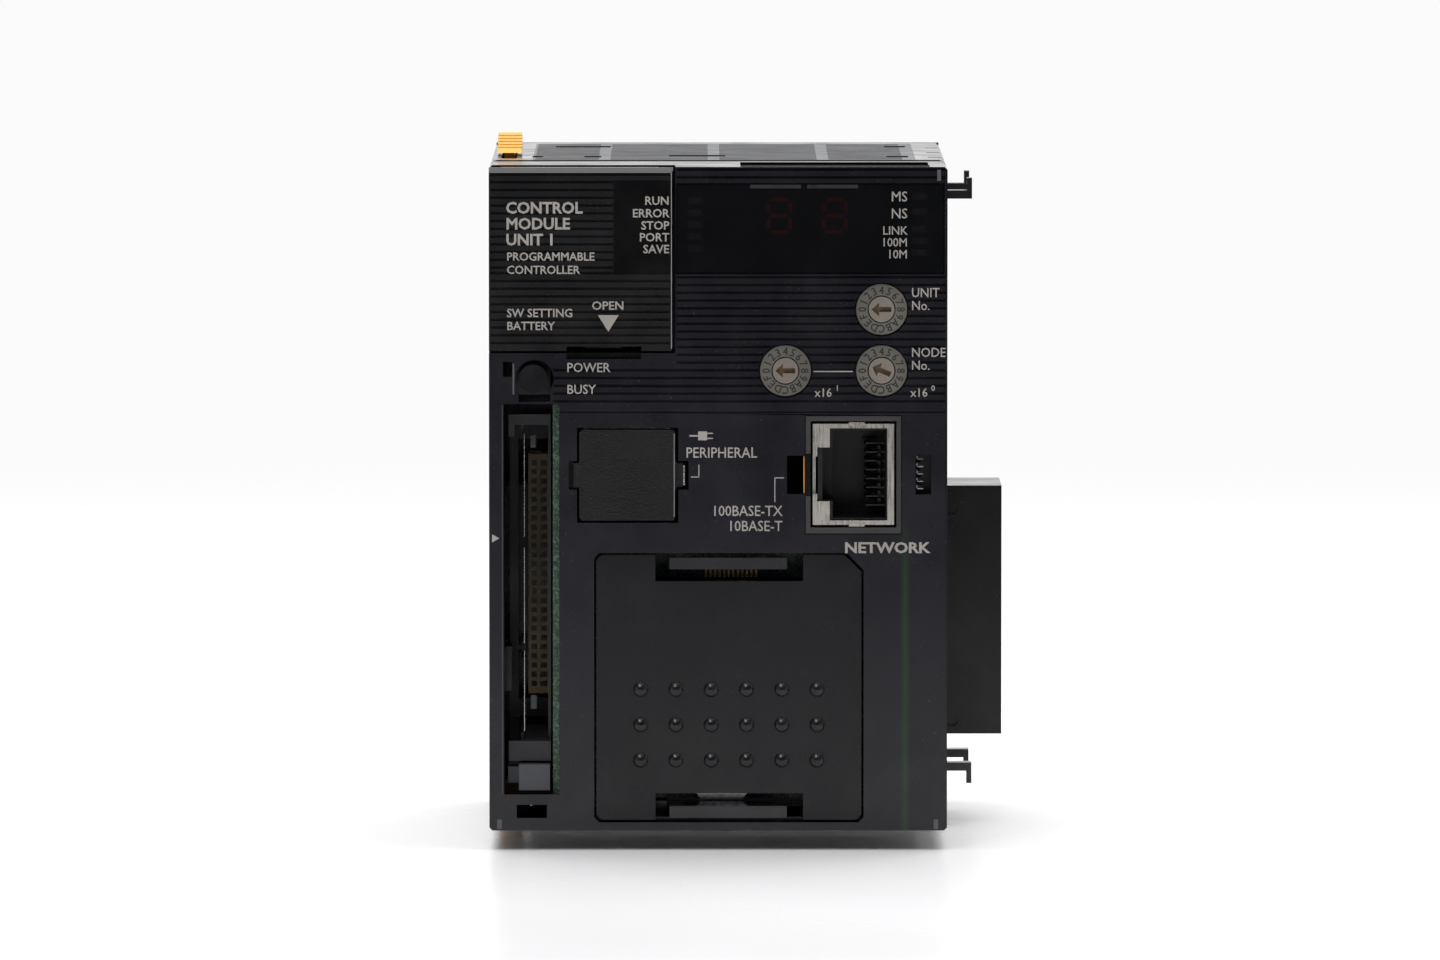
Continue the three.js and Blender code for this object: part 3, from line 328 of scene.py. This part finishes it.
EDGE = {  # how much of each sharp edge is rounded, in mm
    "front_cover": 0.14, "rear_case": 0.1, "back_cover": 0.2, "battery_lid": 0.09, "usb_lid": 0.12,
    "option_latch_top": 0.12, "option_latch_bottom": 0.12, "bus_plug": 0.18,
    "card_guide": 0.1, "eject_button": 0.2, "card_power_button": 0.12, "top_slider": 0.08,
    "bottom_slider": 0.08, "jack_shield": 0.05, "usb_shell": 0.05, "rail_lock_pin": 0.15,
    "display_window": 0.1, "bus_socket": 0.12, "card_connector": 0.08, "jack_insert": 0.05,
}
FLAT = math.radians(1)  # faces that turn less than this are one face
SHARP = math.radians(40)  # an edge that turns more than this is rounded


def round_edges(obj, width):
    """Merges flat faces, then rounds the sharp edges by width in mm."""
    flat = obj.modifiers.new("flat", "DECIMATE")
    flat.decimate_type = "DISSOLVE"
    flat.angle_limit = FLAT
    bevel = obj.modifiers.new("rounded", "BEVEL")
    bevel.width = width * MM
    bevel.segments = 2
    bevel.limit_method = "ANGLE"
    bevel.angle_limit = SHARP
    bevel.use_clamp_overlap = True
    bevel.harden_normals = False
    weighted = obj.modifiers.new("shaded", "WEIGHTED_NORMAL")
    weighted.keep_sharp = False


for name, width in EDGE.items():
    round_edges(NODES[name], width)

# ---------------------------------------------------------------- ways to make a piece

LEFT, RIGHT, MID = "LEFT", "RIGHT", "CENTER"
THIN, MEDIUM, BOLD = 0.012, 0.025, 0.06  # how much the strokes of lettering are widened, in mm
CAPITAL = 0.70  # height of a capital, as a part of the font's size
INK = 0.005  # half the thickness of lettering, in mm


def add_piece(name, made, look, body):
    """Makes a bmesh a named piece that rides a body."""
    mesh = bpy.data.meshes.new(name)
    made.to_mesh(mesh)
    made.free()
    obj = bpy.data.objects.new(name, mesh)
    bpy.context.scene.collection.objects.link(obj)
    mesh.materials.append(M[look])
    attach(obj, body)


def boxes(name, rows, look, body="module", bevel=0.0):
    """One piece made of boxes, each ((x0, x1), (y0, y1), (z0, z1)) in mm."""
    made = bmesh.new()
    for row in rows:
        middle = at(*(sum(span) / 2 for span in row))
        size = [(end - start) * MM for start, end in row]
        place = Matrix.Translation(middle) @ Matrix.Diagonal((*size, 1))
        bmesh.ops.create_cube(made, size=1, matrix=place)
    if bevel:
        bmesh.ops.bevel(made, geom=made.edges[:], offset=bevel * MM, segments=2, affect="EDGES",
                        profile=0.6)
    add_piece(name, made, look, body)


def line(words, x, z, high, align=LEFT, wide=1.0, turn=0.0):
    """A line of lettering: its foot and height in mm, its relative width and its clockwise turn."""
    return words, x, z, high, align, wide, turn


def text(name, lines, look="legend", body="module", bold=MEDIUM, y=FRONT):
    """One piece of lettering, made of lines."""
    made = bmesh.new()
    for words, x, z, high, align, wide, turn in lines:
        curve = bpy.data.curves.new(name, "FONT")
        curve.body = words
        curve.size = high * MM / CAPITAL
        curve.align_x = align
        curve.resolution_u = 2
        curve.extrude = INK * MM
        curve.offset = bold * MM
        label = bpy.data.objects.new(name, curve)
        bpy.context.scene.collection.objects.link(label)
        bpy.context.view_layer.update()
        shown = label.evaluated_get(bpy.context.evaluated_depsgraph_get())
        mesh = bpy.data.meshes.new_from_object(shown)
        bpy.data.objects.remove(label)
        place = Matrix.Translation(at(x, y, z)) @ Matrix.Rotation(turn, 4, "Y")
        upright = Matrix.Rotation(math.pi / 2, 4, "X")
        mesh.transform(place @ upright @ Matrix.Diagonal((wide, 1, 1, 1)))
        made.from_mesh(mesh)
        bpy.data.meshes.remove(mesh)
    add_piece(name, made, look, body)


def flat_shape(name, outlines, body="module"):
    """Printed flat shapes, each a ring of corners (x, z) in mm."""
    made = bmesh.new()
    for corners in outlines:
        front = [made.verts.new(at(x, FRONT, z)) for x, z in corners]
        back = [made.verts.new(at(x, 0, z)) for x, z in corners]
        made.faces.new(front)
        made.faces.new(back[::-1])
        for i, corner in enumerate(front):
            j = (i + 1) % len(front)
            made.faces.new((corner, back[i], back[j], front[j]))
    bmesh.ops.recalc_face_normals(made, faces=made.faces[:])
    add_piece(name, made, "legend", body)


# ---------------------------------------------------------------- printed legends

LID_WORDS, LAMP_WORDS = 2.4, 24.4  # where the lid's words start, and where its lamps' words end, in mm
WINDOW_WORDS = 56.6  # where the words on the window end
DIAL_WORDS, BUTTON_WORDS = 57.1, 10.5  # where the words beside the dials and the button start
SPEED_WORDS = 39.7  # where the network speeds end
LID_HIGH, WINDOW_HIGH, PANEL_HIGH, PORT_HIGH = 1.12, 1.15, 1.25, 1.4  # heights of letters, in mm
EXPONENT_HIGH = 0.75
text("lid_title", [
    line("CONTROL", 2.3, 83.75, 1.5),
    line("MODULE", 2.3, 81.6, 1.5),
    line("UNIT 1", 2.3, 79.45, 1.5),
], body="battery_lid", bold=BOLD)
text("lid_legend", [
    line("PROGRAMMABLE", LID_WORDS, 77.35, 1.1, wide=0.98),
    line("CONTROLLER", LID_WORDS, 75.55, 1.1, wide=0.98),
    line("SW SETTING", LID_WORDS, 69.7, LID_HIGH, wide=0.98),
    line("BATTERY", LID_WORDS, 67.95, LID_HIGH, wide=0.98),
    line("OPEN", 16.1, 70.7, LID_HIGH, MID, 1.05),
    line("RUN", LAMP_WORDS, 84.9, LID_HIGH, RIGHT),
    line("ERROR", LAMP_WORDS, 83.2, LID_HIGH, RIGHT),
    line("STOP", LAMP_WORDS, 81.55, LID_HIGH, RIGHT),
    line("PORT", LAMP_WORDS, 79.95, LID_HIGH, RIGHT),
    line("SAVE", LAMP_WORDS, 78.35, LID_HIGH, RIGHT),
], body="battery_lid")
boxes("lid_legend_panel", [((16.85, 24.6), skin(), (75.75, 88.2))], "lid_panel",
      "battery_lid")
text("window_legend", [
    line("MS", WINDOW_WORDS, 85.35, 1.35, RIGHT, 0.95),
    line("NS", WINDOW_WORDS, 83.05, 1.35, RIGHT, 0.95),
    line("LINK", WINDOW_WORDS, 80.85, WINDOW_HIGH, RIGHT, 0.95),
    line("100M", WINDOW_WORDS, 79.25, WINDOW_HIGH, RIGHT, 0.95),
    line("10M", WINDOW_WORDS, 77.65, WINDOW_HIGH, RIGHT, 0.95),
], bold=THIN)
text("panel_legend", [
    line("UNIT", DIAL_WORDS, 72.4, PANEL_HIGH, wide=0.92),
    line("No.", DIAL_WORDS, 70.65, PANEL_HIGH, wide=0.92),
    line("NODE", DIAL_WORDS, 64.3, PANEL_HIGH, wide=0.92),
    line("No.", DIAL_WORDS, 62.55, PANEL_HIGH, wide=0.92),
    line("x16", 44.05, 58.9, WINDOW_HIGH, wide=0.95),
    line("1", 46.85, 59.7, EXPONENT_HIGH),
    line("x16", 57.0, 58.9, WINDOW_HIGH, wide=0.95),
    line("0", 59.8, 59.7, EXPONENT_HIGH),
    line("POWER", BUTTON_WORDS, 62.25, PANEL_HIGH, wide=0.95),
    line("BUSY", BUTTON_WORDS, 59.3, PANEL_HIGH, wide=0.95),
    line("PERIPHERAL", 26.6, 50.65, PORT_HIGH, wide=0.9),
    line("100BASE-TX", SPEED_WORDS, 42.75, PORT_HIGH, RIGHT, 0.9),
    line("10BASE-T", SPEED_WORDS, 40.7, PORT_HIGH, RIGHT, 0.9),
], bold=THIN)
text("network_legend", [line("NETWORK", 59.6, 37.75, PORT_HIGH, RIGHT, 1.15)], bold=BOLD)
boxes("panel_lines", [
    ((43.9, 49.2), (FRONT, 0), (62.24, 62.4)),
    ((28.32, 28.46), (FRONT, 0), (48.0, 49.7)),
    ((27.3, 28.46), (FRONT, 0), (47.95, 48.09)),
    ((38.6, 38.74), (FRONT, 0), (44.6, 47.9)),
    ((38.6, 39.9), (FRONT, 0), (47.83, 47.97)),
], "legend")
flat_shape("open_arrow", [[(14.75, 69.95), (17.55, 69.95), (16.15, 67.7)]], "battery_lid")
flat_shape("level_arrow", [[(0.4, 40.25), (1.4, 39.7), (0.4, 39.15)]])
flat_shape("port_mark", [  # a plain plug: cord, body and two prongs
    [(27.1, 53.5), (28.3, 53.5), (28.3, 53.7), (27.1, 53.7)],
    [(28.3, 53.0), (29.5, 53.0), (29.5, 54.2), (28.3, 54.2)],
    [(29.5, 53.86), (30.3, 53.86), (30.3, 54.02), (29.5, 54.02)],
    [(29.5, 53.18), (30.3, 53.18), (30.3, 53.34), (29.5, 53.34)],
])

# ---- rotary switches: sixteen engraved positions, 0 on the left and 4 at the top
DIALS = {"unit": (53.1, 70.7), "node_high": (40.1, 62.4), "node_low": (53.1, 62.4)}
SCALE_RING = 2.62  # radius of the characters' middle, in mm
SCALE_HIGH = 1.06
SCALE_FOOT = SCALE_RING - SCALE_HIGH / 2
for dial, (x, z) in DIALS.items():
    marks = []
    for i, mark in enumerate("0123456789ABCDEF"):
        angle = math.pi - i * math.tau / 16
        foot = x + SCALE_FOOT * math.cos(angle), z + SCALE_FOOT * math.sin(angle)
        marks.append(line(mark, *foot, SCALE_HIGH, MID, 0.9, math.pi / 2 - angle))
    text(dial + "_scale", marks, "engraved", bold=0.018, y=front_of(dial + "_dial_body") - HAIR)

# ---------------------------------------------------------------- display

# The digits and lamps are skins on the window, as they show faintly through it. All in mm.
DIGIT_X, DIGIT_Z = [(37.5, 41.0), (45.0, 48.5)], (81.2, 85.6)
SEGMENT = 0.5  # width of a segment
LYING_GAP = 0.6  # from a lying segment's end to the digit's side
STANDING_GAP = 0.45  # from a standing segment's end to the middle of the lying one
LAMPS = [((26.9, 28.9), (85.4, 83.8, 82.2, 80.6, 79.0)), ((57.2, 59.2), (86.0, 84.0, 81.6, 80.0, 78.4))]
LAMP_HALF = 0.45
PANE = skin(front_of("display_window"))


def digit(left, right):
    """The seven segments of a digit."""
    low, high = DIGIT_Z
    centre = (low + high) / 2
    half = SEGMENT / 2
    across = left + LYING_GAP, right - LYING_GAP
    lying = [(across, PANE, (z - half, z + half)) for z in (low, centre, high)]
    spans = (low + STANDING_GAP, centre - STANDING_GAP), (centre + STANDING_GAP, high - STANDING_GAP)
    standing = [((x - half, x + half), PANE, span) for x in (left + half, right - half) for span in spans]
    return lying + standing


boxes("digit_segments", [row for sides in DIGIT_X for row in digit(*sides)], "segment")
boxes("lamp_windows", [(x, PANE, (z - LAMP_HALF, z + LAMP_HALF)) for x, zs in LAMPS for z in zs],
      "lamp")
boxes("digit_top_edges", [(x, skin(), (87.1, 87.6)) for x in ((35.3, 42.2), (43.0, 49.9))],
      "bar")

# ---------------------------------------------------------------- ports

SURROUND_Y = (0.15, 0.24)  # the smoked surround of the network jack, open on the left for the latch wire
SURROUND_LEFT, SURROUND_RIGHT, SURROUND_MID = (42.85, 43.5), (55.12, 55.75), (43.5, 55.12)
SURROUND_LOW, SURROUND_HIGH = 40.35, 56.25
boxes("jack_surround", [
    (SURROUND_LEFT, SURROUND_Y, (51.2, SURROUND_HIGH)), (SURROUND_LEFT, SURROUND_Y, (SURROUND_LOW, 45.4)),
    (SURROUND_RIGHT, SURROUND_Y, (SURROUND_LOW, SURROUND_HIGH)),
    (SURROUND_MID, SURROUND_Y, (55.6, SURROUND_HIGH)), (SURROUND_MID, SURROUND_Y, (SURROUND_LOW, 41.15)),
], "surround", bevel=0.03)
boxes("jack_latch_wire", [((42.55, 42.68), (0.3, 0.9), (45.8, 50.8))], "orange")

THREAD = 0.14  # height of a rib or a pin seen from in front
RIB_Z = [43.95 + i * 1.2 for i in range(8)]
PIN_Z = [46.3 + i for i in range(5)]
PAD_X = [29.2 + i * 0.62 for i in range(12)]
boxes("jack_ribs", [((51.0, 53.6), (2.9, 3.2), (z, z + THREAD)) for z in RIB_Z], "dark_grey")
boxes("header_pins", [((57.85, 58.75), (1.0, 1.15), (z, z + THREAD)) for z in PIN_Z]
      + [((57.85, 57.97), (1.0, 1.15), (z, z + 0.55)) for z in PIN_Z], "steel")
boxes("port_clip", [((26.25, 26.5), (0.5, 0.9), (46.9, 49.6))], "steel", bevel=0.04)
boxes("option_pads", [((x, x + 0.32), (13.9, 13.98), (32.9, 35.4)) for x in PAD_X], "gold")

# ---------------------------------------------------------------- card slot

RAIL_SPANS = (13.0, 24.0), (25.0, 38.0), (39.5, 53.5)
boxes("card_rails", [((4.66, 4.74), (6.0, 6.3), span) for span in RAIL_SPANS], "steel")
boxes("card_latch_tips", [((5.5, 6.3), (6.2, 6.7), (51.6, 53.4)), ((5.5, 6.4), (6.2, 6.7), (16.0, 17.9))],
      "grey", bevel=0.15)
# Painted highlight on the edge of the power button's hole.
boxes("power_hole_highlight", [((3.2, 3.42), skin(), (59.2, 63.4))], "faint_highlight")
boxes("slot_sill", [((4.0, 8.2), (5.0, 5.2), (4.3, 5.2))], "deep")

HOLE = 0.72
HOLE_COLUMNS, HOLE_ROWS = (5.35, 6.75), 25  # left edges of the two columns, and the holes in each
HOLE_PITCH = 1.27
holes_z = (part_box("card_connector")[0].z - ORIGIN.z) / MM + 1.0
# The pin holes are dark squares on the connector's face: painted shade in place of cut holes.
boxes("card_pin_holes", [
    ((x, x + HOLE), skin(front_of("card_connector")), (z, z + HOLE))
    for x in HOLE_COLUMNS for z in [holes_z + i * HOLE_PITCH for i in range(HOLE_ROWS)]
], "deep")

# ---------------------------------------------------------------- edges and marks: painted highlights, painted shade and trims

# Painted highlights: light lines along the right edges of the battery lid and the port lid.
boxes("battery_lid_highlight", [((24.62, 24.74), skin(), (65.4, 89.2))], "bright_painted_highlight",
      "battery_lid")
boxes("port_lid_highlight", [((25.0, 25.1), (0.08, 0.11), (42.6, 53.9))], "bright_painted_highlight",
      "usb_lid")

TOP = (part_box("rear_case")[1].z - ORIGIN.z) / MM
TOP_SKIN = (TOP - SUNK, TOP + HAIR)
SHADE_RISE = 0.08  # how far the painted shade strips on top stand up, in mm
boxes("vent_trim", [((x, x + 0.8), (19.2, 69.8), TOP_SKIN) for x in (4.9, 58.0)], "case")
boxes("cover_top_band", [((34.0, 59.6), (0.5, 5.4), TOP_SKIN)], "matte")
boxes("seam_shadow", [((0.7, 61.3), (18.5, 18.72), (TOP - 0.65, TOP + SHADE_RISE))], "deep")
# Painted shade: dark strips on top where the vent scores show as dark lines.
boxes("vent_score_shade", [((x0, x1), (y, y + 0.3), (TOP - SUNK, TOP + 2 * SHADE_RISE)) for x0, x1, y in (
    (8.5, 16.1, 59.2), (5.6, 7.0, 29.2), (12.7, 15.0, 29.2), (24.3, 32.0, 31.7), (54.2, 57.1, 59.2),
    (54.1, 57.1, 29.2),
)], "deep")

# Painted highlights at the corners of the smoked front, and a painted highlight that runs along its left
# edge.
boxes("corner_highlights", [
    ((1.05, 1.7), skin(), (0.2, 1.5)), ((60.2, 60.8), skin(), (0.2, 1.5)),
    ((60.6, 61.1), skin(), (88.1, 89.6)),
], "faint_highlight")
boxes("left_edge_highlight", [((1.72, 1.86), skin(), (5.0, 57.8))], "surround")

# ---------------------------------------------------------------- floor and light

scene = bpy.context.scene
scene.view_settings.view_transform = "Standard"
FLOOR = 4.0  # metres across
BACKDROP = (0.965, 0.965, 0.97)
FADE_START = 0.1, 0.2  # metres from the object, as mirrored in it and as seen by the camera
FADE_END = 0.78, 0.9
FLOOR_AWAY = (0.05, 0.05, 0.055)  # what the glossy front mirrors of the floor further out
DIM, BRIGHT = (0.075, 0.075, 0.085), (1.0, 1.0, 1.0)  # the studio in front, and behind, above and right


def floor_material():
    """Pale gloss near the object; further out, white to look at and dim in reflections."""
    material, tree, shader = new_material("pale_floor")
    tone = ramp(tree, noise(tree, 3), (0.84, 0.84, 0.85), (0.87, 0.87, 0.875))
    tree.links.new(tone, shader.inputs["Base Color"])
    tree.links.new(ramp(tree, noise(tree, 8), 0.24, 0.3), shader.inputs["Roughness"])
    shader.inputs["Specular IOR Level"].default_value = 0.2
    length = tree.nodes.new("ShaderNodeVectorMath")
    length.operation = "LENGTH"
    tree.links.new(tree.nodes.new("ShaderNodeTexCoord").outputs["Object"], length.inputs[0])
    far = tree.nodes.new("ShaderNodeMapRange")
    far.interpolation_type = "SMOOTHSTEP"
    tree.links.new(length.outputs["Value"], far.inputs["Value"])
    seen = tree.nodes.new("ShaderNodeLightPath").outputs["Is Camera Ray"]
    for key, reach in (("From Min", FADE_START), ("From Max", FADE_END)):
        tree.links.new(fade(tree, seen, 0.0, 1.0, *reach), far.inputs[key])
    white = tree.nodes.new("ShaderNodeEmission")
    tree.links.new(blend_colour(tree, seen, FLOOR_AWAY, BACKDROP), white.inputs["Color"])
    mix = tree.nodes.new("ShaderNodeMixShader")
    tree.links.new(far.outputs["Result"], mix.inputs["Fac"])
    tree.links.new(shader.outputs["BSDF"], mix.inputs[1])
    tree.links.new(white.outputs["Emission"], mix.inputs[2])
    tree.links.new(mix.outputs["Shader"], tree.nodes["Material Output"].inputs["Surface"])
    return material


half = FLOOR / 2
floor_mesh = bpy.data.meshes.new("floor")
floor_mesh.from_pydata([(-half, -half, 0), (half, -half, 0), (half, half, 0), (-half, half, 0)], [],
                       [(0, 1, 2, 3)])
floor_mesh.materials.append(floor_material())
floor = bpy.data.objects.new("floor", floor_mesh)
scene.collection.objects.link(floor)


def studio_world():
    """White to look at; as light it is bright behind, above and on the right, and dim in front."""
    world = bpy.data.worlds.new("studio")
    world.use_nodes = True
    tree = world.node_tree
    tree.nodes.clear()
    split = tree.nodes.new("ShaderNodeSeparateXYZ")
    tree.links.new(tree.nodes.new("ShaderNodeTexCoord").outputs["Generated"], split.inputs["Vector"])
    behind = ramp(tree, split.outputs["Y"], 0.0, 1.0, 0.05, 0.7)
    right = ramp(tree, split.outputs["X"], 0.0, 1.0, 0.75, 0.98)
    light = blend_colour(tree, calculate(tree, "MAXIMUM", behind, right), DIM, BRIGHT)
    seen = tree.nodes.new("ShaderNodeLightPath").outputs["Is Camera Ray"]
    back = tree.nodes.new("ShaderNodeBackground")
    tree.links.new(blend_colour(tree, seen, light, BACKDROP), back.inputs["Color"])
    out = tree.nodes.new("ShaderNodeOutputWorld")
    tree.links.new(back.outputs["Background"], out.inputs["Surface"])
    scene.world = world


def area_light(name, place, target, size, power):
    """A rectangular light; place, target and size in metres, power in watts."""
    light = bpy.data.lights.new(name, "AREA")
    light.shape = "RECTANGLE"
    light.size, light.size_y = size
    light.energy = power
    obj = bpy.data.objects.new(name, light)
    obj.location = place
    obj.rotation_euler = (Vector(target) - Vector(place)).to_track_quat("-Z", "Y").to_euler()
    scene.collection.objects.link(obj)


studio_world()
area_light("top_softbox", (0.0, 0.15, 1.1), (0, 0, 0.05), (1.4, 1.2), 17)
area_light("front_softbox", (-0.2, -1.0, 1.15), (0, 0, 0.04), (0.7, 0.6), 8)
area_light("right_strip", (0.9, -0.35, 0.5), (0, 0, 0.05), (0.25, 1.0), 2.2)
area_light("left_strip", (-0.9, -0.5, 0.5), (0, 0, 0.05), (0.25, 1.0), 1.2)

# ---------------------------------------------------------------- camera

LENS = 351.2  # mm, on a sensor 36 mm wide
CAMERA_PLACE = (-0.0065, -1.9335, 0.1809)
LOOKS_DOWN, LOOKS_RIGHT = 3.94, 0.08  # degrees

camera = bpy.data.cameras.new("camera")
camera.sensor_width = 36
camera.lens = LENS
camera.clip_end = 20
view = bpy.data.objects.new("camera", camera)
view.location = CAMERA_PLACE
view.rotation_euler = (math.radians(90 - LOOKS_DOWN), 0, math.radians(-LOOKS_RIGHT))
scene.collection.objects.link(view)
scene.camera = view
